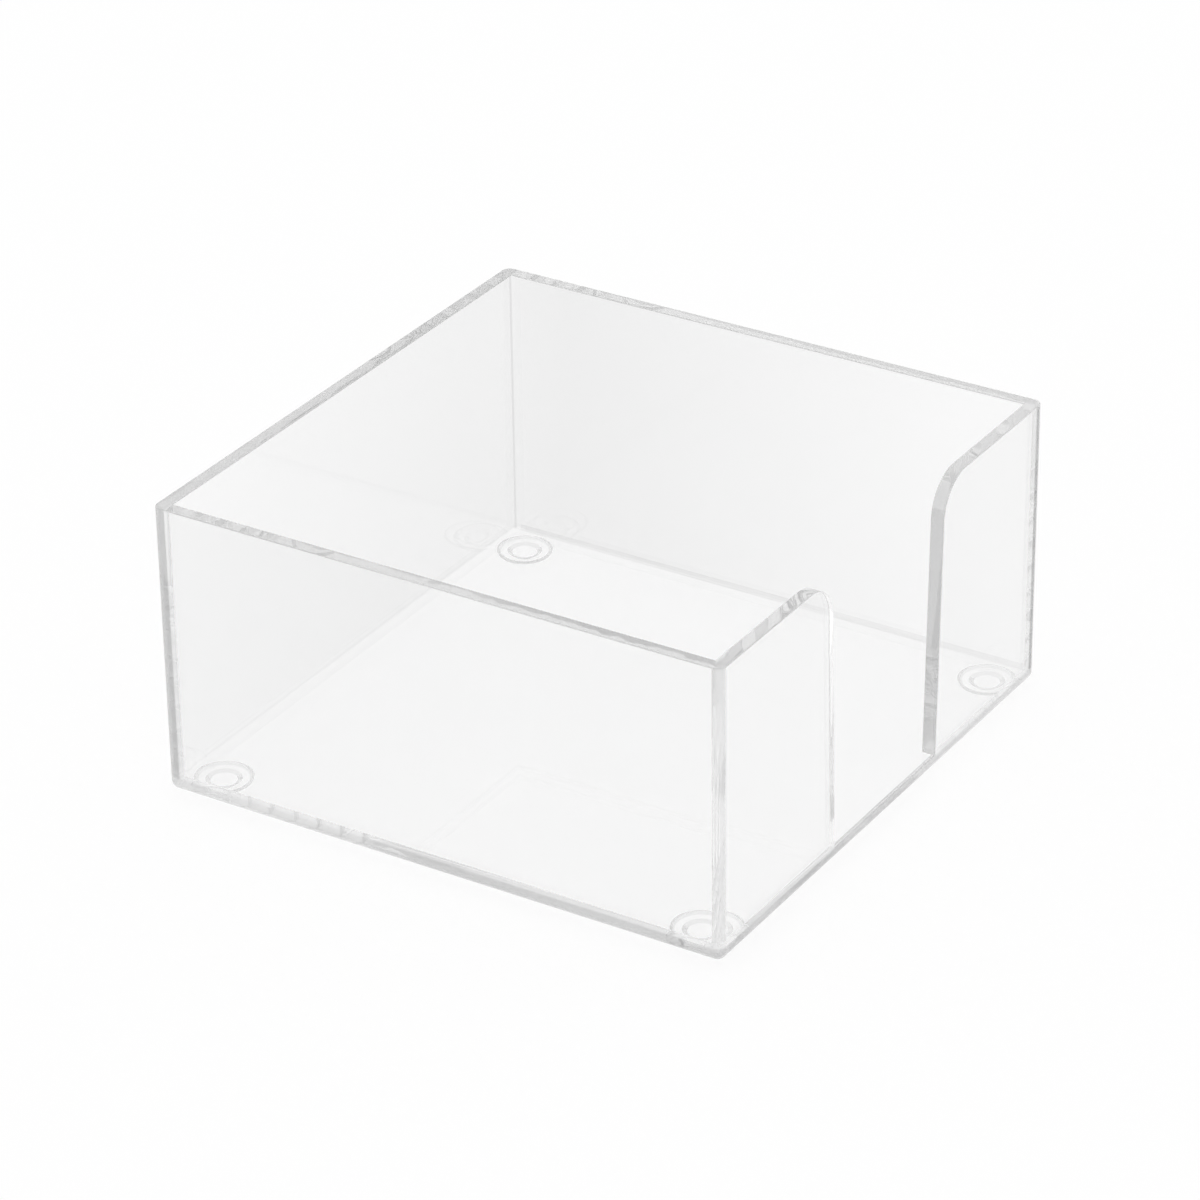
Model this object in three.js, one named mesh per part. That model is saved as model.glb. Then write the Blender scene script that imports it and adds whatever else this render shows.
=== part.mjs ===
// Clear acrylic memo box: an open-topped square box of welded sheets on four round bumpers.
// Millimetres, +Z up. The box is centred on X and Y, and the bumpers stand on Z = 0.
// The wall with the finger cut-out is the front, at -Y.
import * as THREE from "three";
import { mergeVertices } from "three/addons/utils/BufferGeometryUtils.js";

// Box: a 4 in (101.6 mm) note sheet lies inside with a little room all round
const BOX_SIDE = 108;
const BOX_HEIGHT = 53.5;
const SHEET = 2.5;

// Outer edges, flame-polished round
const CORNER_RADIUS = 1.6;
const FLOOR_EDGE_RADIUS = 1.5;

// Finger cut-out in the front wall, from the rim down to the floor
const CUTOUT_RIM_WIDTH = 37.5;
const CUTOUT_FLOOR_WIDTH = 34.5;
const SHOULDER_RADIUS = 7.5;

// Bumpers under the floor
const FOOT_DIAMETER = 10.2;
const FOOT_STUD_DIAMETER = 6.3;
const FOOT_FACE_DIAMETER = 4.6;
const FOOT_HEIGHT = 1.6;
const FOOT_SKIRT_HEIGHT = 0.85;
const FOOT_EDGE_RADIUS = 0.8;
const FOOT_INSET = 7.25;

// How finely the curves are cut
const CORNER_STEPS = 12;
const EDGE_STEPS = 10;
const SHOULDER_STEPS = 24;
const FOOT_STEPS = 72;
const FOOT_EDGE_STEPS = 8;

const HALF_TURN = Math.PI;
const QUARTER_TURN = Math.PI / 2;

// Colours of the two materials
const ACRYLIC_COLOUR = 0xf1f3f4;
const BUMPER_COLOUR = 0xe4e7e9;

const HALF_SIDE = BOX_SIDE / 2;
const INNER_HALF_SIDE = HALF_SIDE - SHEET;
const FLOOR_TOP = FOOT_HEIGHT + SHEET;
const WALL_HEIGHT = BOX_HEIGHT - SHEET;
const FOOT_OFFSET = HALF_SIDE - FOOT_INSET;

// Polished clear sheet
function acrylic() {
  return new THREE.MeshStandardMaterial({
    color: ACRYLIC_COLOUR,
    roughness: 0.04,
    metalness: 0,
    transparent: true,
    opacity: 0.35,
  });
}

// Soft clear polyurethane of the bumpers
function bumperPlastic() {
  return new THREE.MeshStandardMaterial({
    color: BUMPER_COLOUR,
    roughness: 0.18,
    metalness: 0,
    transparent: true,
    opacity: 0.55,
  });
}

// One closed surface from loose triangles: shared corners, and no triangle that has shrunk to a line
function welded(geometry) {
  geometry.deleteAttribute("normal");
  geometry.deleteAttribute("uv");
  const merged = mergeVertices(geometry);
  const corners = merged.index.array;
  const kept = [];
  for (let i = 0; i < corners.length; i += 3) {
    const [a, b, c] = [corners[i], corners[i + 1], corners[i + 2]];
    if (a !== b && b !== c && c !== a) kept.push(a, b, c);
  }
  merged.setIndex(kept);
  merged.computeVertexNormals();
  return merged;
}

function namedMesh(name, geometry, material) {
  const mesh = new THREE.Mesh(welded(geometry), material);
  mesh.name = name;
  return mesh;
}

// Corner points of a square with round corners, anticlockwise from its front right corner
function roundedSquare(halfSide, radius) {
  const points = [];
  const centre = halfSide - radius;
  for (let corner = 0; corner < 4; corner += 1) {
    const start = (corner - 1) * QUARTER_TURN;
    const middle = start + QUARTER_TURN / 2;
    const cx = Math.sign(Math.cos(middle)) * centre;
    const cy = Math.sign(Math.sin(middle)) * centre;
    for (let step = 0; step <= CORNER_STEPS; step += 1) {
      const angle = start + (step / CORNER_STEPS) * QUARTER_TURN;
      points.push([cx + radius * Math.cos(angle), cy + radius * Math.sin(angle)]);
    }
  }
  return points;
}

// A solid through a pile of rings with equal point counts, closed by flat ends
function lofted(rings) {
  const count = rings[0].points.length;
  const positions = [];
  const index = [];
  for (const { points, z } of rings) {
    for (const [x, y] of points) positions.push(x, y, z);
  }
  for (let ring = 0; ring < rings.length - 1; ring += 1) {
    for (let i = 0; i < count; i += 1) {
      const next = (i + 1) % count;
      const low = ring * count;
      const high = low + count;
      index.push(low + i, low + next, high + next);
      index.push(low + i, high + next, high + i);
    }
  }
  const lid = (rings.length - 1) * count;
  for (let i = 1; i < count - 1; i += 1) {
    index.push(0, i + 1, i);
    index.push(lid, lid + i, lid + i + 1);
  }
  const geometry = new THREE.BufferGeometry();
  geometry.setAttribute("position", new THREE.Float32BufferAttribute(positions, 3));
  geometry.setIndex(index);
  return geometry;
}

// Floor sheet: its lower outer edge is rolled round, also round the box's corners
function floorPanel() {
  const rings = [];
  for (let step = 0; step <= EDGE_STEPS; step += 1) {
    const angle = (step / EDGE_STEPS) * QUARTER_TURN;
    const inset = FLOOR_EDGE_RADIUS * (1 - Math.sin(angle));
    const rise = FLOOR_EDGE_RADIUS * (1 - Math.cos(angle));
    rings.push({
      points: roundedSquare(HALF_SIDE - inset, Math.max(CORNER_RADIUS - inset, 0)),
      z: FOOT_HEIGHT + rise,
    });
  }
  rings.push({ points: roundedSquare(HALF_SIDE, CORNER_RADIUS), z: FLOOR_TOP });
  // The paper's seat, out to where the walls stand
  rings.push({ points: roundedSquare(INNER_HALF_SIDE, 0), z: FLOOR_TOP });
  return namedMesh("floor_panel", lofted(rings), acrylic());
}

// A wall standing on the floor, from its outline as seen from above
function standingWall(name, plan) {
  const geometry = new THREE.ExtrudeGeometry(plan, {
    depth: WALL_HEIGHT,
    bevelEnabled: false,
    curveSegments: CORNER_STEPS,
  });
  geometry.translate(0, 0, FLOOR_TOP);
  return namedMesh(name, geometry, acrylic());
}

// Rear wall: runs the full width, with both outer corners round
function rearWall() {
  const arcCentre = HALF_SIDE - CORNER_RADIUS;
  const plan = new THREE.Shape();
  plan.moveTo(-HALF_SIDE, INNER_HALF_SIDE);
  plan.lineTo(HALF_SIDE, INNER_HALF_SIDE);
  plan.lineTo(HALF_SIDE, arcCentre);
  plan.absarc(arcCentre, arcCentre, CORNER_RADIUS, 0, QUARTER_TURN, false);
  plan.lineTo(-arcCentre, HALF_SIDE);
  plan.absarc(-arcCentre, arcCentre, CORNER_RADIUS, QUARTER_TURN, HALF_TURN, false);
  plan.closePath();
  return standingWall("rear_wall", plan);
}

// Side wall: butts against the rear wall and shows its end at the front, with the outer corner round
function sideWall(name, side) {
  const arcCentre = HALF_SIDE - CORNER_RADIUS;
  const turnStart = side > 0 ? 0 : HALF_TURN;
  const turnEnd = side > 0 ? -QUARTER_TURN : HALF_TURN + QUARTER_TURN;
  const plan = new THREE.Shape();
  plan.moveTo(side * INNER_HALF_SIDE, INNER_HALF_SIDE);
  plan.lineTo(side * HALF_SIDE, INNER_HALF_SIDE);
  plan.lineTo(side * HALF_SIDE, -arcCentre);
  plan.absarc(side * arcCentre, -arcCentre, CORNER_RADIUS, turnStart, turnEnd, side > 0);
  plan.lineTo(side * INNER_HALF_SIDE, -HALF_SIDE);
  plan.closePath();
  return standingWall(name, plan);
}

// Front panel beside the cut-out: its free side leans with the cut-out's taper
// and turns into the rim by an arc that is tangent to both
function frontPanel(name, side) {
  const lowX = CUTOUT_FLOOR_WIDTH / 2;
  const highX = CUTOUT_RIM_WIDTH / 2;
  const lean = Math.atan2(highX - lowX, WALL_HEIGHT);
  const arcZ = WALL_HEIGHT - SHOULDER_RADIUS;
  const arcX = lowX + arcZ * Math.tan(lean) + SHOULDER_RADIUS / Math.cos(lean);
  const face = new THREE.Shape();
  face.moveTo(side * INNER_HALF_SIDE, 0);
  face.lineTo(side * lowX, 0);
  for (let step = 0; step <= SHOULDER_STEPS; step += 1) {
    const turn = lean + (step / SHOULDER_STEPS) * (QUARTER_TURN - lean);
    const x = arcX - SHOULDER_RADIUS * Math.cos(turn);
    const z = arcZ + SHOULDER_RADIUS * Math.sin(turn);
    face.lineTo(side * x, z);
  }
  face.lineTo(side * INNER_HALF_SIDE, WALL_HEIGHT);
  face.closePath();
  const geometry = new THREE.ExtrudeGeometry(face, { depth: SHEET, bevelEnabled: false });
  geometry.rotateX(QUARTER_TURN);
  geometry.translate(0, -INNER_HALF_SIDE, FLOOR_TOP);
  return namedMesh(name, geometry, acrylic());
}

// Bumper: a flat skirt with a round lower edge, and a tapered stud down to the face it stands on
function footProfile() {
  const edge = Math.min(FOOT_EDGE_RADIUS, FOOT_SKIRT_HEIGHT);
  const edgeCentre = FOOT_DIAMETER / 2 - edge;
  const skirtLevel = FOOT_HEIGHT - FOOT_SKIRT_HEIGHT;
  const profile = [
    new THREE.Vector2(0, 0),
    new THREE.Vector2(FOOT_FACE_DIAMETER / 2, 0),
    new THREE.Vector2(FOOT_STUD_DIAMETER / 2, skirtLevel),
  ];
  for (let step = 0; step <= FOOT_EDGE_STEPS; step += 1) {
    const angle = (step / FOOT_EDGE_STEPS) * QUARTER_TURN;
    const radius = edgeCentre + edge * Math.sin(angle);
    const rise = edge * (1 - Math.cos(angle));
    profile.push(new THREE.Vector2(radius, skirtLevel + rise));
  }
  profile.push(new THREE.Vector2(FOOT_DIAMETER / 2, FOOT_HEIGHT));
  profile.push(new THREE.Vector2(0, FOOT_HEIGHT));
  return profile;
}

function foot(name, sideX, sideY) {
  const geometry = new THREE.LatheGeometry(footProfile(), FOOT_STEPS);
  geometry.rotateX(QUARTER_TURN);
  geometry.translate(sideX * FOOT_OFFSET, sideY * FOOT_OFFSET, 0);
  return namedMesh(name, geometry, bumperPlastic());
}

function memoBox() {
  const box = new THREE.Group();
  box.name = "memo_box";
  box.add(floorPanel(), rearWall());
  for (const [word, sideX] of [["left", -1], ["right", 1]]) {
    box.add(sideWall(`${word}_wall`, sideX));
    box.add(frontPanel(`front_panel_${word}`, sideX));
    box.add(foot(`foot_front_${word}`, sideX, -1));
    box.add(foot(`foot_rear_${word}`, sideX, 1));
  }
  return box;
}

export default memoBox();
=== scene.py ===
"""Clear acrylic memo box with a finger cut-out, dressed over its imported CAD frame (Blender 4.5, metres)."""

import logging
import math
from dataclasses import dataclass, field
from enum import Enum
from typing import Any, Iterable, Sequence

import bmesh
import bpy
from mathutils import Euler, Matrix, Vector

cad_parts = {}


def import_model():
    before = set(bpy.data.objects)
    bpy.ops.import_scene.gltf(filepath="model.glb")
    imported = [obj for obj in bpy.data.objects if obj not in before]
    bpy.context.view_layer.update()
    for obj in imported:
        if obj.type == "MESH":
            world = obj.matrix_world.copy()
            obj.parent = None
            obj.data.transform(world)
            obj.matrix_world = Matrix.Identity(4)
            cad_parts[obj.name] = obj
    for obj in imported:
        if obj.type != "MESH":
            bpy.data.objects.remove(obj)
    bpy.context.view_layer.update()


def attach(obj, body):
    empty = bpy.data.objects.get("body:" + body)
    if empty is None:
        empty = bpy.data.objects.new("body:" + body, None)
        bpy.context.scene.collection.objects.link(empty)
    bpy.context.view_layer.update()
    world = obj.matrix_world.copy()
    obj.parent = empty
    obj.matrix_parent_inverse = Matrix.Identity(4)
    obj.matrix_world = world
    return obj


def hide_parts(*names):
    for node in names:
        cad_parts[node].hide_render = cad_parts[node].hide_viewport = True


LOG = logging.getLogger("memo_box")
MM = 0.001
POINTS_PER_METRE = 1e7
QUARTER_TURN = math.radians(90)

# Sizes that the sheets, the bumpers and their finishes share
BOX_HALF = 54.0 * MM
UNDERSIDE = 1.6 * MM
SHEET = 2.5 * MM
BUMPER_OFFSET = 46.75 * MM
BUMPER_RADIUS = 5.1 * MM
STUD_RADIUS = 3.15 * MM
STUD_FACE_RADIUS = 2.3 * MM

Point = tuple[float, float, float]
PlanPoint = tuple[float, float]
Colour = tuple[float, float, float, float]


class BoxCorner(Enum):
    """The four corners that carry a bumper, as signs along X and Y."""

    FRONT_LEFT = (-1, -1)
    FRONT_RIGHT = (1, -1)
    REAR_LEFT = (-1, 1)
    REAR_RIGHT = (1, 1)

    @property
    def node(self) -> str:
        """Name of the CAD node of the bumper at this corner."""
        return "foot_" + self.name.lower()


class Panel(Enum):
    """The welded sheets whose rims show: where each one's polishing waves start, and its rim's polish and
    painted grey.
    """

    REAR = (0.0, 1.5)
    LEFT = (1.7, 1.2)
    RIGHT = (3.1, 1.0)
    FRONT_LEFT = (4.9, 1.0)
    FRONT_RIGHT = (6.3, 1.0)

    @property
    def phase(self) -> float:
        """Where the sheet's polishing waves start."""
        return self.value[0]

    @property
    def rim_finish(self) -> float:
        """The sheet's rim's share of polish and of painted grey shade."""
        return self.value[1]


class Socket:
    """An output socket with arithmetic: each expression adds its Math nodes to the tree."""

    def __init__(self, tree: "NodeTree", output: Any) -> None:
        """Keeps the tree and the output socket that this value stands for."""
        self.tree = tree
        self.output = output

    def _with(self, operation: str, *values: Any) -> "Socket":
        """One Math node.

        Args:
            operation: the Math node's operation.
            values: its inputs in order, numbers or sockets.

        Returns:
            The node's value.
        """
        return self.tree.add("ShaderNodeMath", {"operation": operation}, dict(enumerate(values)))

    def __add__(self, other: Any) -> "Socket":
        """Sum."""
        return self._with("ADD", self, other)

    def __radd__(self, other: Any) -> "Socket":
        """Sum with a number in front."""
        return self._with("ADD", other, self)

    def __sub__(self, other: Any) -> "Socket":
        """Difference."""
        return self._with("SUBTRACT", self, other)

    def __rsub__(self, other: Any) -> "Socket":
        """Difference from a number."""
        return self._with("SUBTRACT", other, self)

    def __mul__(self, other: Any) -> "Socket":
        """Product."""
        return self._with("MULTIPLY", self, other)

    def __rmul__(self, other: Any) -> "Socket":
        """Product with a number in front."""
        return self._with("MULTIPLY", other, self)

    def __truediv__(self, other: Any) -> "Socket":
        """Quotient."""
        return self._with("DIVIDE", self, other)

    def __pow__(self, other: Any) -> "Socket":
        """Power."""
        return self._with("POWER", self, other)

    def __abs__(self) -> "Socket":
        """Size without sign."""
        return self._with("ABSOLUTE", self)

    def below(self, limit: Any) -> "Socket":
        """1 where this is under the limit, else 0."""
        return self._with("LESS_THAN", self, limit)

    def least(self, other: Any) -> "Socket":
        """The smaller of two values."""
        return self._with("MINIMUM", self, other)

    def most(self, other: Any) -> "Socket":
        """The larger of two values."""
        return self._with("MAXIMUM", self, other)

    def share(self) -> "Socket":
        """This value, held between 0 and 1."""
        return self.most(0.0).least(1.0)

    def sine(self) -> "Socket":
        """Sine of an angle in radians."""
        return self._with("SINE", self)


class NodeTree:
    """A shader or geometry tree that is built by calls."""

    def __init__(self, tree: bpy.types.NodeTree) -> None:
        """Empties the tree and keeps it."""
        self.tree = tree
        tree.nodes.clear()

    def add(self, kind: str, settings: dict[str, Any] | None = None,
            inputs: dict[Any, Any] | None = None, output: Any = 0) -> Socket:
        """Adds one node.

        Args:
            kind: the node's type name.
            settings: the node's own settings, set before its sockets. "ramp" holds a colour ramp's stops.
            inputs: values or sockets by socket name or number.
            output: name or number of the output that is returned.

        Returns:
            The wanted output.
        """
        node = self.tree.nodes.new(kind)
        for name, value in (settings or {}).items():
            if name == "ramp":
                self._set_ramp(node.color_ramp, value)
            else:
                setattr(node, name, value)
        for key, value in (inputs or {}).items():
            if isinstance(value, Socket):
                self.tree.links.new(value.output, node.inputs[key])
            else:
                node.inputs[key].default_value = value
        return Socket(self, node.outputs[output]) if len(node.outputs) else Socket(self, node)

    def place(self) -> Socket:
        """Object coordinates of the surface, in metres."""
        return self.add("ShaderNodeTexCoord", output="Object")

    def split(self, vector: Socket) -> tuple[Socket, Socket, Socket]:
        """The X, Y and Z of a vector."""
        node = self.add("ShaderNodeSeparateXYZ", {}, {0: vector}).output.node
        return Socket(self, node.outputs[0]), Socket(self, node.outputs[1]), Socket(self, node.outputs[2])

    def rays(self) -> tuple[Socket, Socket]:
        """Tells the kinds of ray apart.

        Returns:
            1 on camera rays, and 1 on rays that gloss or glass sends on.
        """
        node = self.add("ShaderNodeLightPath").output.node
        camera, gloss, through = (Socket(self, node.outputs[f"Is {kind} Ray"])
                                  for kind in ("Camera", "Glossy", "Transmission"))
        return camera, gloss.most(through)

    @staticmethod
    def _set_ramp(ramp: bpy.types.ColorRamp, stops: Sequence[tuple[float, Colour]]) -> None:
        """Gives a colour ramp its stops.

        Args:
            ramp: the ramp of the node.
            stops: a place and a colour each, in order.
        """
        while len(ramp.elements) < len(stops):
            ramp.elements.new(1.0)
        for element, (place, colour) in zip(ramp.elements, stops):
            element.position = place
            element.color = colour


def grey(level: float) -> Colour:
    """An opaque neutral colour of one level."""
    return (level, level, level, 1.0)


def blank_material(name: str) -> tuple[bpy.types.Material, NodeTree]:
    """A new material with an empty tree.

    Args:
        name: the material's name.

    Returns:
        The material and its tree.
    """
    material = bpy.data.materials.new(name)
    material.use_nodes = True
    return material, NodeTree(material.node_tree)


def from_bumper(x: Socket, y: Socket, offset: float) -> Socket:
    """Distance in plan from the axis of the nearest bumper.

    Args:
        x: place along X.
        y: place along Y.
        offset: how far the bumpers' axes lie from the middle, along X and along Y.

    Returns:
        The distance in metres.
    """
    side, deep = abs(x) - offset, abs(y) - offset
    return (side * side + deep * deep) ** 0.5


def end_clear_plastic(tree: NodeTree, glass: Socket, stuck: Socket, density: float, painted_glow: float) -> None:
    """Ends a clear plastic's tree: its surface, and a depth with a painted glow where long paths fade to a
    pale grey.

    Args:
        tree: the material's tree.
        glass: the shader of the bare surface.
        stuck: 1 where plastic is stuck on plastic and light goes straight through, else 0.
        density: how fast the depth takes light, per metre.
        painted_glow: the level that the depth's painted glow holds long paths to.
    """
    through = tree.add("ShaderNodeBsdfTransparent", {}, {"Color": grey(1.0)})
    surface = tree.add("ShaderNodeMixShader", {}, {0: stuck, 1: glass, 2: through})
    depth = tree.add("ShaderNodeVolumeAbsorption", {}, {"Color": grey(0.0), "Density": density})
    # Painted light: the depth glows so that long paths fade to a pale grey
    glow = tree.add("ShaderNodeEmission", {}, {"Color": grey(1.0), "Strength": painted_glow * density})
    inside = tree.add("ShaderNodeAddShader", {}, {0: depth, 1: glow})
    tree.add("ShaderNodeOutputMaterial", {}, {"Surface": surface, "Volume": inside})


@dataclass(frozen=True)
class ClearAcrylic:
    """Clear cast acrylic: glassy faces, edges that are polished a little wavy and greyed by painted shade,
    and a grey depth with a painted glow.

    The mesh carries two values per face. "edge_finish_and_shade" is its share of the edges' finish and
    painted shade, and
    "sheet_phase" breaks the run of the waves where one sheet meets the next.
    """

    name: str = "clear_acrylic"
    refraction: float = 1.49
    density: float = 1.0
    painted_glow: float = 0.8
    tint: float = 0.955
    cloud_scale: float = 42.0
    cloud_spread: float = 0.012
    # Painted shade: how far the edges' share greys the base colour
    edge_shade: float = 0.32
    edge_roughness: float = 0.02
    smear_scale: float = 260.0

    # Waves of flame polishing, with calmer stretches between them
    wave_length: float = 6.0 * MM
    wave_height: float = 0.13 * MM
    wave_roughness: float = 0.45
    wave_distortion: float = 0.4
    calm_scale: float = 0.18
    calm_phase: float = 9.0
    calm_gain: float = 1.4
    calm_loss: float = 0.1
    calm_height: float = 0.15

    # Strokes along the floor sheet's edge, with painted shade darker up to a reach from the near corner
    foot_level: float = 4.05 * MM
    half_side: float = BOX_HALF
    shade_reach: float = 70.0 * MM
    shade_blend: float = 12.0 * MM
    shade_gain: float = 0.5
    light_loss: float = 0.25
    stroke_gain: float = 1.2
    stroke_scale: Point = (45.0, 45.0, 600.0)

    # Round patches under the floor where the bumpers are stuck on
    contact_offset: float = BUMPER_OFFSET
    contact_radius: float = BUMPER_RADIUS
    contact_level: float = UNDERSIDE + 0.02 * MM

    def build(self) -> bpy.types.Material:
        """Makes the material.

        Returns:
            The finished material.
        """
        material, tree = blank_material(self.name)
        glass = tree.add("ShaderNodeBsdfPrincipled", {}, {
            "Base Color": self._colour(tree),
            "Roughness": self._roughness(tree),
            "Transmission Weight": 1.0,
            "IOR": self.refraction,
            "Normal": self._waves(tree),
        })
        end_clear_plastic(tree, glass, self._contact(tree), self.density, self.painted_glow)
        return material

    def _edge(self, tree: NodeTree) -> Socket:
        """The share of edge finish and painted shade that the mesh carries."""
        return tree.add("ShaderNodeAttribute", {"attribute_name": "edge_finish_and_shade"}, output="Fac")

    def _colour(self, tree: NodeTree) -> Socket:
        """Nearly white with the faintest cloud of handling on it, and greyer on the polished edges with
        painted shade.

        Args:
            tree: the material's tree.

        Returns:
            The base colour.
        """
        place = tree.place()
        cloud = tree.add("ShaderNodeTexNoise", {"noise_dimensions": "3D"},
                         {"Vector": place, "Scale": self.cloud_scale, "Detail": 2.0, "Roughness": 0.5})
        # Painted shade: the edges' share greys the base colour
        painted_edge_shade = self._edge(tree) * self._foot_strokes_and_shade(tree, place) * self.edge_shade
        level = (cloud * self.cloud_spread + (self.tint - self.cloud_spread / 2)) * (1.0 - painted_edge_shade)
        return tree.add("ShaderNodeCombineColor", {}, {0: level, 1: level, 2: level})

    def _foot_strokes_and_shade(self, tree: NodeTree, place: Socket) -> Socket:
        """Long strokes along the floor sheet's edge, with painted shade darker on both sides of the near
        corner.

        Args:
            tree: the material's tree.
            place: object coordinates.

        Returns:
            The factor on the edge's grey, which is 1 above the floor sheet.
        """
        x, y, up = tree.split(place)
        walk = x + y + 2.0 * self.half_side
        # Painted shade, darker towards the near corner
        near = ((self.shade_reach - walk) / self.shade_blend).share()
        drawn = tree.add("ShaderNodeVectorMath", {"operation": "MULTIPLY"}, {0: place, 1: self.stroke_scale})
        stroke = tree.add("ShaderNodeTexNoise", {"noise_dimensions": "3D"},
                          {"Vector": drawn, "Scale": 1.0, "Detail": 2.0})
        extra = near * self.shade_gain - self.light_loss + (stroke - 0.5) * self.stroke_gain
        return 1.0 + up.below(self.foot_level) * extra

    def _roughness(self, tree: NodeTree) -> Socket:
        """Glassy on the faces, and a little softer in smears on the polished edges.

        Args:
            tree: the material's tree.

        Returns:
            The roughness.
        """
        smear = tree.add("ShaderNodeTexNoise", {"noise_dimensions": "3D"},
                         {"Vector": tree.place(), "Scale": self.smear_scale, "Detail": 3.0})
        return self._edge(tree) * smear * self.edge_roughness

    def _waves(self, tree: NodeTree) -> Socket:
        """Waves of flame polishing along the edges.

        Args:
            tree: the material's tree.

        Returns:
            The bumped normal.
        """
        place = tree.place()
        phase = tree.add("ShaderNodeAttribute", {"attribute_name": "sheet_phase"}, output="Fac")
        broad = tree.add("ShaderNodeTexNoise", {"noise_dimensions": "4D"}, {
            "Vector": place, "W": phase, "Scale": 1.0 / self.wave_length, "Detail": 1.0,
            "Roughness": self.wave_roughness, "Distortion": self.wave_distortion})
        calm = tree.add("ShaderNodeTexNoise", {"noise_dimensions": "4D"}, {
            "Vector": place, "W": phase + self.calm_phase, "Scale": self.calm_scale / self.wave_length,
            "Detail": 1.0})
        height = broad * (calm * self.calm_gain - self.calm_loss).most(self.calm_height)
        return tree.add("ShaderNodeBump", {}, {
            "Strength": self._edge(tree), "Distance": self.wave_height, "Height": height})

    def _contact(self, tree: NodeTree) -> Socket:
        """Finds the patches where the bumpers are stuck on.

        Args:
            tree: the material's tree.

        Returns:
            1 on the patches, else 0.
        """
        x, y, up = tree.split(tree.place())
        apart = from_bumper(x, y, self.contact_offset)
        return apart.below(self.contact_radius) * up.below(self.contact_level)


@dataclass(frozen=True)
class ClearBumper:
    """Soft clear polyurethane: as clear as the acrylic, with a dull skin, duller flanks greyed by painted
    shade, and a depth with a painted glow.
    """

    name: str = "clear_bumper"
    refraction: float = 1.49
    density: float = 18.0
    painted_glow: float = 0.82
    tint: float = 0.975
    flank_shade_level: float = 0.79
    skin: float = 0.02
    flank_skin: float = 0.36
    mottle_scale: float = 900.0
    mottle_spread: float = 0.02
    pit_strength: float = 0.4
    pit_depth: float = 0.004 * MM
    glued_level: float = 1.565 * MM
    offset: float = BUMPER_OFFSET
    flat_radius: float = 4.35 * MM
    stud_radius: float = STUD_RADIUS
    face_radius: float = STUD_FACE_RADIUS

    def build(self) -> bpy.types.Material:
        """Makes the material.

        Returns:
            The finished material.
        """
        material, tree = blank_material(self.name)
        place = tree.place()
        mottle = tree.add("ShaderNodeTexNoise", {"noise_dimensions": "3D"},
                          {"Vector": place, "Scale": self.mottle_scale, "Detail": 2.0})
        x, y, up = tree.split(place)
        flank = self._flank(x, y)
        clean = mottle * self.mottle_spread + (self.tint - self.mottle_spread / 2)
        # Painted shade: the flanks are greyed in the base colour
        level = clean * (1.0 - flank * (1.0 - self.flank_shade_level))
        glass = tree.add("ShaderNodeBsdfPrincipled", {}, {
            "Base Color": tree.add("ShaderNodeCombineColor", {}, {0: level, 1: level, 2: level}),
            "Roughness": mottle * (self.skin + flank * (self.flank_skin - self.skin)),
            "Transmission Weight": 1.0,
            "IOR": self.refraction,
            "Normal": tree.add("ShaderNodeBump", {}, {
                "Strength": self.pit_strength, "Distance": self.pit_depth, "Height": mottle}),
        })
        end_clear_plastic(tree, glass, 1.0 - up.below(self.glued_level), self.density, self.painted_glow)
        return material

    def _flank(self, x: Socket, y: Socket) -> Socket:
        """Finds the skirt's round edge and the stud's side, between and outside the two flats.

        Args:
            x: place along X.
            y: place along Y.

        Returns:
            1 on the flanks, 0 on the flats.
        """
        apart = from_bumper(x, y, self.offset)
        rim = 1.0 - apart.below(self.flat_radius)
        stud = apart.below(self.stud_radius) * (1.0 - apart.below(self.face_radius))
        return rim.most(stud)


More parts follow.
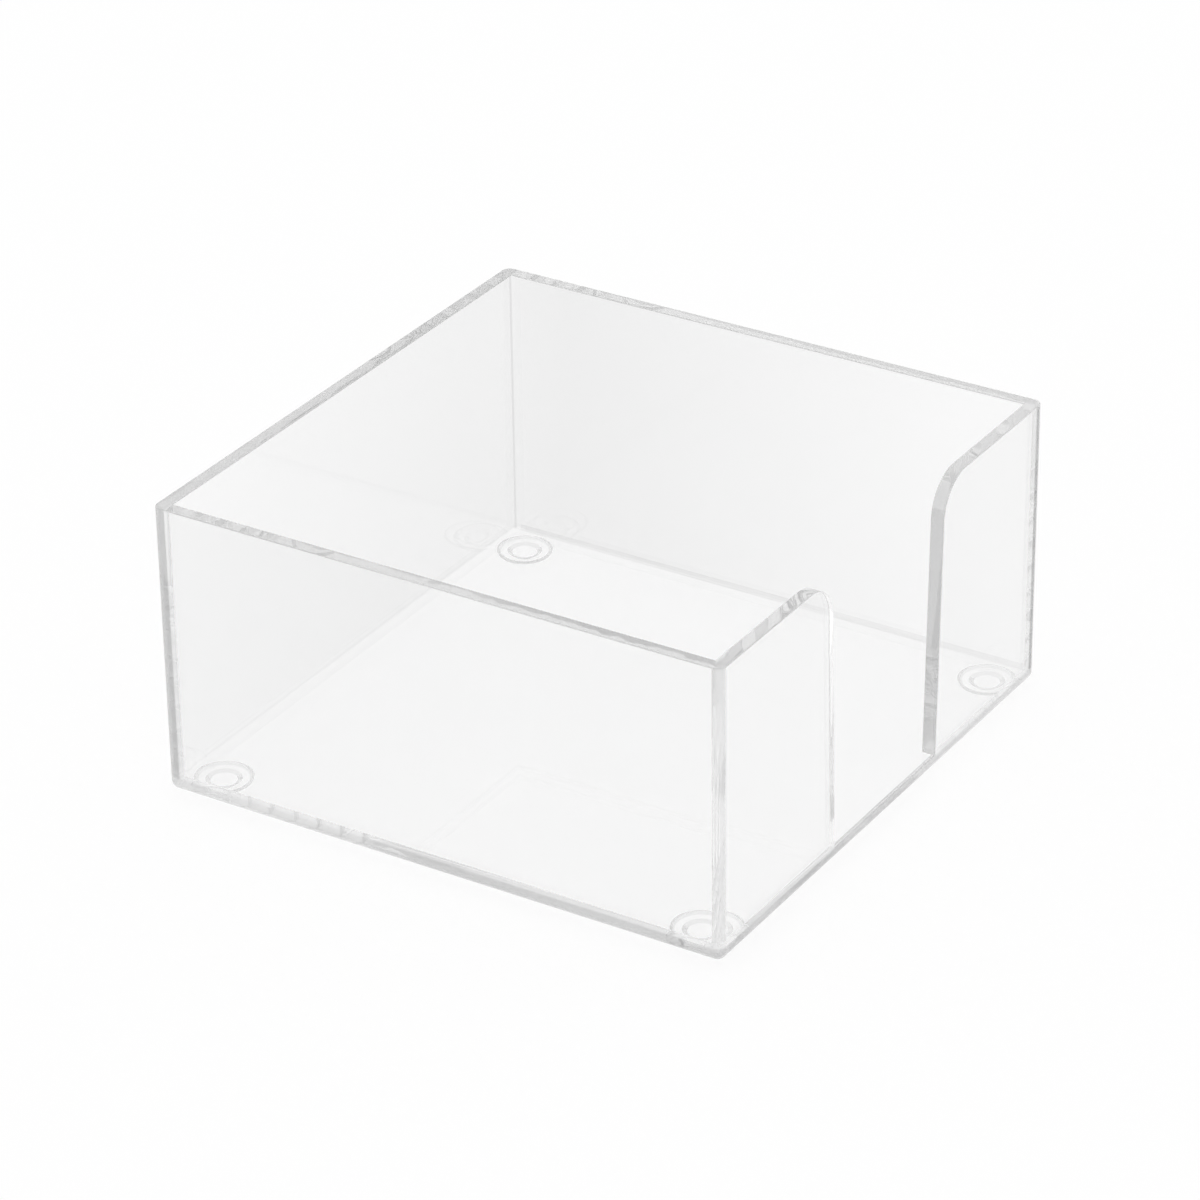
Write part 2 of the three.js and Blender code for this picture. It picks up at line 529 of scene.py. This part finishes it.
@dataclass(frozen=True)
class PaleFloor:
    """Plain white sweep: white to the camera but for the object's soft shadow.

    What the clear sheets show of it is painted light and shade: a little brighter before the box, a painted
    shadow dimmer behind its far corner with a thin painted shadow line along the box, and even under the box
    and far off.
    """

    name: str = "pale_floor"
    colour: float = 0.97
    camera_glow: float = 0.86
    sheet_glow: float = 0.75
    brightness: float = 1.05

    # Where the painted light and shade start beside the box, and where they have evened out
    start: float = 57.4 * MM
    blend: float = 0.8 * MM
    even_from: float = 170.0 * MM
    even_blend: float = 150.0 * MM

    # Painted light before the box
    left_painted_light: float = 1.26
    front_painted_light: float = 1.04

    # Painted shadow behind the box, with a thin painted shadow line along it: the dimmest place, measured
    # across the view
    shadow_line_width: float = 0.5 * MM
    shadow_line_depth: float = 0.075
    far_corner_painted_shade: float = 0.83
    far_side_painted_shade: float = 0.96
    far_corner: float = -8.0 * MM
    far_width: float = 78.0 * MM
    across: PlanPoint = (0.524, -0.851)

    def build(self) -> bpy.types.Material:
        """Makes the material.

        Returns:
            The finished material.
        """
        material, tree = blank_material(self.name)
        camera, mirrored = tree.rays()
        matt = tree.add("ShaderNodeBsdfDiffuse", {}, {"Color": grey(self.colour)})
        # Painted light and shade: the sheets see this emission with the sweep's painted tones in its strength
        white = tree.add("ShaderNodeEmission", {}, {
            "Color": grey(1.0), "Strength": camera + (1.0 - camera) * self._painted_light_and_shade(tree)})
        share = camera * self.camera_glow + (1.0 - camera) * mirrored * self.sheet_glow
        surface = tree.add("ShaderNodeMixShader", {}, {0: share, 1: matt, 2: white})
        tree.add("ShaderNodeOutputMaterial", {}, {"Surface": surface})
        return material

    def _painted_light_and_shade(self, tree: NodeTree) -> Socket:
        """Painted light and shade of the sweep as the clear sheets show it.

        Args:
            tree: the material's tree.

        Returns:
            The strength, near 1.
        """
        x, y, _ = tree.split(tree.place())
        past = x.most(y) - self.start
        beyond = (past / self.blend).share()
        # Painted shadow line along the box's foot
        seam = (1.0 - abs(past - self.shadow_line_width) / self.shadow_line_width).most(0.0) * self.shadow_line_depth
        lateral = x * self.across[0] + y * self.across[1]
        # Painted shadow behind the box, dimmest behind its far corner
        bell = 1.0 - (abs(lateral - self.far_corner) / self.far_width).least(1.0)
        behind = self.far_side_painted_shade + bell * (self.far_corner_painted_shade - self.far_side_painted_shade)
        # Painted light before the box, on its left and front
        left, front = (((-1.0 * side - self.start) / self.blend).share() for side in (x, y))
        before = (left * (self.left_painted_light - 1.0)).most(front * (self.front_painted_light - 1.0)) * (1.0 - beyond)
        even = ((abs(x).most(abs(y)) - self.even_from) / self.even_blend).share()
        return (1.0 + (beyond * (behind - 1.0) + before - seam) * (1.0 - even)) * self.brightness


@dataclass(frozen=True)
class StudioSky:
    """Surroundings: plain white to the camera and as light, and a white room with greyer walls in the glass.

    The room's levels are heights, from 0 at the horizon to 1 overhead.
    """

    light: float = 1.0
    walls: float = 0.86
    white_to: float = 0.12
    walls_from: float = 0.36
    walls_to: float = 0.62
    softbox_from: float = 0.85
    softbox_dip: float = 0.1

    def build(self) -> bpy.types.World:
        """Makes the world.

        Returns:
            The finished world.
        """
        world = bpy.data.worlds.new("studio_sky")
        world.use_nodes = True
        tree = NodeTree(world.node_tree)
        camera, mirrored = tree.rays()
        strength = self.light + mirrored * (1.0 - camera) * (self._room(tree) - self.light)
        sky = tree.add("ShaderNodeBackground", {}, {"Color": grey(1.0), "Strength": strength})
        tree.add("ShaderNodeOutputWorld", {}, {"Surface": sky})
        return world

    def _room(self, tree: NodeTree) -> Socket:
        """The room by height: white at the horizon, greyer walls above it and a white softbox overhead.

        Args:
            tree: the world's tree.

        Returns:
            The room's light.
        """
        _, _, height = tree.split(tree.add("ShaderNodeTexCoord", output="Generated"))
        softbox = 1.0 - (1.0 - self.walls) * self.softbox_dip
        stops = ((0.0, grey(1.0)), (self.white_to, grey(1.0)), (self.walls_from, grey(self.walls)),
                 (self.walls_to, grey(self.walls)), (self.softbox_from, grey(softbox)))
        return tree.add("ShaderNodeValToRGB", {"ramp": stops}, {0: height.most(0.0)})


def finished_object(name: str, mesh: bpy.types.Mesh, material: bpy.types.Material) -> bpy.types.Object:
    """Puts a mesh into the scene as an unmoved object with one material.

    Args:
        name: the object's name.
        mesh: its mesh, already in place.
        material: its material.

    Returns:
        The new object.
    """
    mesh.materials.clear()
    mesh.materials.append(material)
    piece = bpy.data.objects.new(name, mesh)
    bpy.context.scene.collection.objects.link(piece)
    return piece


@dataclass
class AcrylicShell:
    """The welded floor and walls as one clear body, with rolled outer edges and eased rims.

    A finish is a share of the edges' polish and painted shade: 1 on a plain edge, more where more shade is
    painted, 0 for none.
    """

    half: float = BOX_HALF
    rim_level: float = 55.1 * MM
    sheet: float = SHEET
    underside: float = UNDERSIDE
    corner_radius: float = 1.6 * MM
    floor_edge_radius: float = 1.5 * MM
    cutout_rim_width: float = 37.5 * MM
    cutout_floor_width: float = 34.5 * MM
    shoulder_radius: float = 7.5 * MM
    floor_weld: float = 0.09 * MM
    eased_edge: float = 0.18 * MM

    # Each edge's share of polish and of painted shade
    near_corner_finish_and_shade: float = 0.0
    side_corner_finish_and_shade: float = 1.3
    far_corner_finish_and_shade: float = 0.0
    front_floor_finish_and_shade: float = 1.35
    left_floor_finish_and_shade: float = 1.0
    rear_floor_finish_and_shade: float = 0.13
    right_floor_finish_and_shade: float = 0.67
    rear_end_finish_and_shade: float = 1.7
    left_end_finish_and_shade: float = 0.0
    right_end_finish_and_shade: float = 2.1
    near_cut_finish_and_shade: float = 1.8
    far_cut_finish_and_shade: float = 1.45
    shoulder_finish_and_shade: float = 1.0

    corner_steps: int = 24
    edge_steps: int = 20
    shoulder_steps: int = 48
    weld_steps: int = 5
    ease_steps: int = 4
    sharp_angle: float = math.radians(60)

    # Limits that tell the faces apart: a distance, a factor on the eased edge, and parts of a unit normal
    tolerance: float = 0.01 * MM
    rim_margin: float = 1.05
    square_normal: float = 0.99999
    front_normal: float = 0.9
    shoulder_normal: float = 0.3

    nodes: tuple[str, ...] = ("floor_panel", "rear_wall", "left_wall", "right_wall",
                              "front_panel_left", "front_panel_right")
    _points: dict[tuple[int, int, int], bmesh.types.BMVert] = field(default_factory=dict, repr=False)
    _mesh: bmesh.types.BMesh | None = field(default=None, repr=False)

    @property
    def inner(self) -> float:
        """Half the inner side."""
        return self.half - self.sheet

    @property
    def floor_level(self) -> float:
        """Height of the inside floor."""
        return self.underside + self.sheet

    def build(self, material: bpy.types.Material) -> bpy.types.Object:
        """Builds the shell and hands it to the frame.

        Args:
            material: the clear acrylic.

        Returns:
            The finished piece.
        """
        self._mesh = bmesh.new()
        self._outer_skin()
        self._cavity()
        self._front_wall()
        self._rims()
        bmesh.ops.recalc_face_normals(self._mesh, faces=self._mesh.faces)
        self._ease_edges()
        mesh = bpy.data.meshes.new("acrylic_shell")
        self._mesh.normal_update()
        self._mesh.to_mesh(mesh)
        self._mesh.free()
        self._mark(mesh)
        piece = finished_object("acrylic_shell", mesh, material)
        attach(piece, "root")
        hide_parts(*self.nodes)
        return piece

    def _at(self, x: float, y: float, z: float) -> bmesh.types.BMVert:
        """The vertex at a place, made once.

        Args:
            x: place along X.
            y: place along Y.
            z: place along Z.

        Returns:
            The shared vertex.
        """
        key = (round(x * POINTS_PER_METRE), round(y * POINTS_PER_METRE), round(z * POINTS_PER_METRE))
        if key not in self._points:
            self._points[key] = self._mesh.verts.new((x, y, z))
        return self._points[key]

    def _face(self, points: Iterable[Point]) -> None:
        """Adds one flat face.

        Args:
            points: its corners in order, which may repeat a point in a row.
        """
        ring: list[bmesh.types.BMVert] = []
        for point in points:
            vert = self._at(*point)
            if not ring or ring[-1] is not vert:
                ring.append(vert)
        if ring[0] is ring[-1]:
            ring.pop()
        self._mesh.faces.new(ring)

    def _outline(self, inset: float = 0.0) -> list[PlanPoint]:
        """The outer square with round corners and the walls' seams, anticlockwise from the front right one.

        Args:
            inset: how far inside the outer faces it runs.

        Returns:
            Its points.
        """
        centre = self.half - self.corner_radius
        radius = self.corner_radius - inset
        points: list[PlanPoint] = []
        for corner, (sx, sy) in enumerate(((1, -1), (1, 1), (-1, 1), (-1, -1))):
            seam = (sx * (self.half - inset), self.inner) if sy > 0 else (sx * self.inner, inset - self.half)
            arc = []
            for step in range(self.corner_steps + 1):
                turn = QUARTER_TURN * (corner - 1 + step / self.corner_steps)
                arc.append((sx * centre + radius * math.cos(turn), sy * centre + radius * math.sin(turn)))
            points += [seam, *arc] if sx > 0 else [*arc, seam]
        return points

    def _corner_points(self, corner: int) -> list[PlanPoint]:
        """The outer outline's points round one corner, counted from the front right one."""
        run = self.corner_steps + 2
        return self._outline()[corner * run:(corner + 1) * run]

    def _outer_skin(self) -> None:
        """Underside, rolled lower edge, round upright corners and the three whole outer faces."""
        levels = []
        for step in range(self.edge_steps + 1):
            turn = QUARTER_TURN * step / self.edge_steps
            inset = self.floor_edge_radius * (1 - math.sin(turn))
            height = self.underside + self.floor_edge_radius * (1 - math.cos(turn))
            levels.append((self._outline(inset), height))
        levels.append((self._outline(), self.floor_level))
        lowest, height = levels[0]
        self._face([(x, y, height) for x, y in reversed(lowest)])
        count = len(lowest)
        gap = self.cutout_floor_width / 2
        for (low, low_z), (high, high_z) in zip(levels, levels[1:]):
            for i in range(count):
                j = (i + 1) % count
                under_cutout: list[Point] = []
                if j == 0 and high_z == self.floor_level:
                    under_cutout = [(gap, -self.half, high_z), (-gap, -self.half, high_z)]
                self._face([(*low[i], low_z), (*low[j], low_z), (*high[j], high_z), *under_cutout,
                            (*high[i], high_z)])
        top, base = levels[-1]
        for a, b in zip(top, top[1:]):
            self._face([(*a, base), (*b, base), (*b, self.rim_level), (*a, self.rim_level)])

    def _cavity(self) -> None:
        """Inside floor, out through the cut-out, and the three whole inner faces."""
        inner, low, high = self.inner, self.floor_level, self.rim_level
        gap = self.cutout_floor_width / 2
        plan = [(-gap, -inner), (-gap, -self.half), (gap, -self.half), (gap, -inner),
                (inner, -inner), (inner, inner), (-inner, inner), (-inner, -inner)]
        self._face([(x, y, low) for x, y in plan])
        for (x0, y0), (x1, y1) in zip(plan[4:], plan[5:]):
            self._face([(x0, y0, low), (x1, y1, low), (x1, y1, high), (x0, y0, high)])

    def _cut_side(self) -> list[PlanPoint]:
        """Free side of the right front panel, from the rim over the shoulder down to the floor.

        Returns:
            Its points as X and Z.
        """
        low_x, high_x = self.cutout_floor_width / 2, self.cutout_rim_width / 2
        wall = self.rim_level - self.floor_level
        lean = math.atan2(high_x - low_x, wall)
        arc_z = wall - self.shoulder_radius
        arc_x = low_x + arc_z * math.tan(lean) + self.shoulder_radius / math.cos(lean)
        points: list[PlanPoint] = []
        for step in range(self.shoulder_steps, -1, -1):
            turn = lean + (QUARTER_TURN - lean) * step / self.shoulder_steps
            points.append((arc_x - self.shoulder_radius * math.cos(turn),
                           self.floor_level + arc_z + self.shoulder_radius * math.sin(turn)))
        points.append((low_x, self.floor_level))
        return points

    def _front_wall(self) -> None:
        """Outer and inner faces of the front panels, and the two free sides between them."""
        side = self._cut_side()
        outline = [(self.inner, self.floor_level), (self.inner, self.rim_level), *side]
        self._face([(x, -self.half, z) for x, z in outline])
        self._face([(-x, -self.half, z) for x, z in reversed(outline)])
        self._face([(x, -self.inner, z) for x, z in reversed(outline)])
        self._face([(-x, -self.inner, z) for x, z in outline])
        for (x0, z0), (x1, z1) in zip(side, side[1:]):
            for sign in (1, -1):
                self._face([(sign * x0, -self.half, z0), (sign * x1, -self.half, z1),
                            (sign * x1, -self.inner, z1), (sign * x0, -self.inner, z0)])

    def _rims(self) -> None:
        """Top edge of each sheet, a face of its own, so that the welds show where two meet."""
        half, inner, high = self.half, self.inner, self.rim_level
        shoulder = self._cut_side()[0][0]
        rear = [*self._corner_points(1), *self._corner_points(2), (-inner, inner), (inner, inner)]
        left = [(-half, inner), *self._corner_points(3), (-inner, -inner), (-inner, inner)]
        right = [(half, inner), (inner, inner), (inner, -inner), *self._corner_points(0)]
        for plan in (rear, left, right):
            self._face([(x, y, high) for x, y in plan])
        for sign in (1, -1):
            self._face([(sign * inner, -half, high), (sign * inner, -inner, high),
                        (sign * shoulder, -inner, high), (sign * shoulder, -half, high)])

    def _ease_edges(self) -> None:
        """Fills the right wall's foot with a little weld, and breaks the arrises of rims and cut-out."""
        wall, floor = self.inner - self.tolerance, self.floor_level + self.tolerance
        foot = [edge for edge in self._sharp_edges(convex=False)
                if all(vert.co.x > wall and vert.co.z < floor for vert in edge.verts)]
        self._round(foot, self.floor_weld, self.weld_steps)
        self._round(self._sharp_edges(convex=True), self.eased_edge, self.ease_steps)
        bmesh.ops.remove_doubles(self._mesh, verts=self._mesh.verts, dist=1.0 / POINTS_PER_METRE)

    def _sharp_edges(self, convex: bool) -> list[bmesh.types.BMEdge]:
        """The sharp edges of one kind: outer arrises if convex, else inside corners."""
        return [edge for edge in self._mesh.edges if edge.is_manifold and edge.is_convex == convex
                and edge.calc_face_angle(0.0) > self.sharp_angle]

    def _round(self, edges: list[bmesh.types.BMEdge], width: float, steps: int) -> None:
        """Rounds some edges.

        Args:
            edges: the edges.
            width: how far the round reaches from them.
            steps: how many flats it is cut in.
        """
        bmesh.ops.bevel(self._mesh, geom=edges, offset=width, offset_type="OFFSET", segments=steps,
                        profile=0.5, affect="EDGES", clamp_overlap=True)

    def _mark(self, mesh: bpy.types.Mesh) -> None:
        """Writes each face's finish and painted shade and the phase of its sheet, and smooths the round
        faces.

        Args:
            mesh: the shell's mesh.
        """
        # Each face's share of edge polish and of the edges' painted shade
        polish = mesh.attributes.new("edge_finish_and_shade", "FLOAT", "FACE")
        phase = mesh.attributes.new("sheet_phase", "FLOAT", "FACE")
        for face in mesh.polygons:
            square = max(abs(part) for part in face.normal) > self.square_normal
            polish.data[face.index].value = self._finish_and_shade_of(face.center, face.normal, square)
            phase.data[face.index].value = self._panel_at(face.center).phase
            face.use_smooth = not square
        mesh.update()

    def _finish_and_shade_of(self, place: Vector, normal: Vector, square: bool) -> float:
        """The finish and painted shade of a face.

        Args:
            place: the face's centre.
            normal: the face's outward direction.
            square: whether it lies square to an axis.

        Returns:
            The share of edge polish and painted shade: own values on the edges, corners and wall ends, 0 on
            sheet faces.
        """
        left, front = place.x < 0, place.y < 0
        across, deep = abs(place.x), abs(place.y)
        outside = self.half - self.tolerance
        if place.z > self.rim_level - self.eased_edge * self.rim_margin:
            return self._panel_at(place).rim_finish
        if place.z < self.floor_level and (max(across, deep) > outside or not square):
            return self._floor_finish_and_shade_of(place)
        if front and deep > self.inner - self.tolerance and across < self.inner:
            if abs(normal.y) < self.front_normal:
                if abs(normal.z) > self.shoulder_normal:
                    return self.shoulder_finish_and_shade
                return self.near_cut_finish_and_shade if left else self.far_cut_finish_and_shade
        if min(across, deep) > self.inner and not square:
            if left == front:
                return self.near_corner_finish_and_shade if left else self.far_corner_finish_and_shade
            return self.side_corner_finish_and_shade
        if square and left and across > outside and place.y > self.inner:
            return self.rear_end_finish_and_shade
        if square and front and deep > outside and across > self.inner:
            return self.left_end_finish_and_shade if left else self.right_end_finish_and_shade
        return 0.0

    def _floor_finish_and_shade_of(self, place: Vector) -> float:
        """The finish and painted shade of the floor sheet's outer edge.

        Args:
            place: a point on that edge.

        Returns:
            The finish and painted shade of the side that holds the point.
        """
        if place.x < -self.inner:
            return self.left_floor_finish_and_shade
        if place.y < -self.inner:
            return self.front_floor_finish_and_shade
        return self.rear_floor_finish_and_shade if place.y > self.inner else self.right_floor_finish_and_shade

    def _panel_at(self, place: Vector) -> Panel:
        """The sheet that holds a place.

        Args:
            place: a point on the shell.

        Returns:
            The sheet.
        """
        if place.y > self.inner:
            return Panel.REAR
        if abs(place.x) > self.inner:
            return Panel.LEFT if place.x < 0 else Panel.RIGHT
        return Panel.FRONT_LEFT if place.x < 0 else Panel.FRONT_RIGHT


@dataclass
class BumperFeet:
    """Four stuck-on clear bumpers, each turned by one geometry tree from a drum.

    The spans share out the drum's height: the stud's side, the skirt's flat, its round edge and its land.
    """

    outer_radius: float = BUMPER_RADIUS
    edge_radius: float = 0.8 * MM
    stud_radius: float = STUD_RADIUS
    face_radius: float = STUD_FACE_RADIUS
    height: float = 1.53 * MM
    skirt: float = 0.83 * MM
    clearance: float = 0.04 * MM
    offset: float = BUMPER_OFFSET
    steps: int = 128
    levels: int = 40
    cap_rings: int = 6
    spans: tuple[PlanPoint, ...] = ((0.0, 0.2), (0.2, 0.4), (0.4, 0.8), (0.8, 1.0))
    sharp_angle: float = math.radians(25)

    @property
    def sizes(self) -> dict[str, float | int]:
        """The tree's inputs but for the place, by name and in order."""
        return {
            "Outer Radius": self.outer_radius, "Edge Radius": self.edge_radius,
            "Stud Radius": self.stud_radius, "Face Radius": self.face_radius,
            "Height": self.height, "Skirt": self.skirt, "Steps": self.steps, "Levels": self.levels,
        }

    def build(self, material: bpy.types.Material) -> list[bpy.types.Object]:
        """Builds the four bumpers and hands them to the frame.

        Args:
            material: the clear bumper finish.

        Returns:
            The finished pieces.
        """
        group = self._tree(material)
        return [self._bumper(corner, group, material) for corner in BoxCorner]

    def _tree(self, material: bpy.types.Material) -> bpy.types.NodeTree:
        """The geometry tree that swells a drum into a bumper and sets it in its place.

        Args:
            material: the clear bumper finish.

        Returns:
            The node group, with its sizes as named inputs.
        """
        group = bpy.data.node_groups.new("bumper", "GeometryNodeTree")
        tree = NodeTree(group)
        for name, value in self.sizes.items():
            kind = "NodeSocketInt" if isinstance(value, int) else "NodeSocketFloat"
            group.interface.new_socket(name, in_out="INPUT", socket_type=kind)
        group.interface.new_socket("Place", in_out="INPUT", socket_type="NodeSocketVector")
        group.interface.new_socket("Geometry", in_out="OUTPUT", socket_type="NodeSocketGeometry")
        entry = tree.add("NodeGroupInput").output.node
        outer, edge, stud, face, height, skirt, steps, levels, place = (
            Socket(tree, entry.outputs[i]) for i in range(len(self.sizes) + 1))
        drum = tree.add("GeometryNodeMeshCylinder", {"fill_type": "TRIANGLE_FAN"}, {
            "Vertices": steps, "Side Segments": levels, "Fill Segments": self.cap_rings,
            "Radius": 1.0, "Depth": 2.0})
        x, y, z = tree.split(tree.add("GeometryNodeInputPosition"))
        rise = (z + 1.0) * 0.5
        taper, shelf, turn, land = (((rise - start) / (end - start)).share() for start, end in self.spans)
        quarter = turn * QUARTER_TURN
        radius = face + (stud - face) * taper + (outer - edge - stud) * shelf + edge * quarter.sine()
        bend = edge * (1.0 - (quarter + QUARTER_TURN).sine())
        level = (height - skirt) * taper + bend + (skirt - edge) * land
        turned = tree.add("ShaderNodeCombineXYZ", {}, {0: x * radius, 1: y * radius, 2: level})
        shaped = tree.add("GeometryNodeSetPosition", {}, {"Geometry": drum, "Position": turned})
        placed = tree.add("GeometryNodeTransform", {}, {"Geometry": shaped, "Translation": place})
        real = tree.add("GeometryNodeRealizeInstances", {}, {"Geometry": placed})
        dressed = tree.add("GeometryNodeSetMaterial", {}, {"Geometry": real, "Material": material})
        tree.add("NodeGroupOutput", {}, {0: dressed})
        return group

    def _bumper(self, corner: BoxCorner, group: bpy.types.NodeTree,
                material: bpy.types.Material) -> bpy.types.Object:
        """Bakes one bumper.

        Args:
            corner: where it sits.
            group: the bumper tree.
            material: the clear bumper finish.

        Returns:
            The finished piece.
        """
        side_x, side_y = corner.value
        values = {**self.sizes, "Place": (side_x * self.offset, side_y * self.offset, self.clearance)}
        holder = bpy.data.objects.new("bumper_blank", bpy.data.meshes.new("bumper_blank"))
        bpy.context.scene.collection.objects.link(holder)
        modifier = holder.modifiers.new("bumper", "NODES")
        modifier.node_group = group
        for item in group.interface.items_tree:
            if item.item_type == "SOCKET" and item.in_out == "INPUT":
                modifier[item.identifier] = values[item.name]
        depsgraph = bpy.context.evaluated_depsgraph_get()
        mesh = bpy.data.meshes.new_from_object(holder.evaluated_get(depsgraph))
        holder.modifiers.clear()
        bpy.data.objects.remove(holder)
        mesh.name = corner.node + "_bumper"
        mesh.shade_smooth()
        mesh.set_sharp_from_angle(angle=self.sharp_angle)
        piece = finished_object(corner.node + "_bumper", mesh, material)
        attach(piece, "root")
        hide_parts(corner.node)
        return piece


@dataclass
class StudioSet:
    """Floor, surroundings and the camera at the photograph's angle."""

    floor_reach: float = 6.0
    camera_place: Point = (-0.63263, -0.39385, 0.43273)
    camera_turn: Point = (61.44612, 0.67451, -58.36559)
    focal_length: float = 150.492
    sensor_width: float = 36.0
    nearest: float = 0.01
    farthest: float = 50.0
    bounces: int = 200
    open_bounces: int = 16

    def build(self, floor: PaleFloor, sky: StudioSky) -> None:
        """Builds the set round the object.

        Args:
            floor: finish of the floor.
            sky: the surroundings.
        """
        self._floor(floor.build())
        bpy.context.scene.world = sky.build()
        self._camera()
        self._render_settings()

    def _floor(self, material: bpy.types.Material) -> None:
        """The plain floor that the bumpers stand on.

        Args:
            material: the floor's finish.
        """
        reach = self.floor_reach
        mesh = bpy.data.meshes.new("studio_floor")
        mesh.from_pydata([(-reach, -reach, 0), (reach, -reach, 0), (reach, reach, 0), (-reach, reach, 0)],
                         [], [(0, 1, 2, 3)])
        finished_object("studio_floor", mesh, material)

    def _camera(self) -> None:
        """The camera, fitted to the photograph's rims, floor lines and upright edges."""
        lens = bpy.data.cameras.new("photo_camera")
        lens.sensor_width = self.sensor_width
        lens.sensor_fit = "HORIZONTAL"
        lens.lens = self.focal_length
        lens.clip_start = self.nearest
        lens.clip_end = self.farthest
        camera = bpy.data.objects.new("photo_camera", lens)
        camera.location = self.camera_place
        camera.rotation_euler = Euler([math.radians(angle) for angle in self.camera_turn], "XYZ")
        bpy.context.scene.collection.objects.link(camera)
        bpy.context.scene.camera = camera

    def _render_settings(self) -> None:
        """Plain colours, and enough bounces for light that runs along inside the sheets."""
        scene = bpy.context.scene
        scene.view_settings.view_transform = "Standard"
        scene.cycles.max_bounces = self.bounces
        scene.cycles.transmission_bounces = self.bounces
        scene.cycles.glossy_bounces = self.bounces
        scene.cycles.transparent_max_bounces = self.open_bounces
        scene.cycles.blur_glossy = 0.0


def report(piece: bpy.types.Object) -> None:
    """Logs a finished piece's name, size and face count."""
    size = [round(value / MM, 2) for value in piece.dimensions]
    LOG.info("%s: %s mm, %d faces", piece.name, size, len(piece.data.polygons))


def main() -> None:
    """Builds the box and its set, and reports each piece."""
    logging.basicConfig(level=logging.INFO, format="%(name)s %(message)s")
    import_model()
    acrylic = ClearAcrylic().build()
    bumper = ClearBumper().build()
    report(AcrylicShell().build(acrylic))
    for foot in BumperFeet().build(bumper):
        report(foot)
    StudioSet().build(PaleFloor(), StudioSky())


if __name__ == "__main__":
    main()
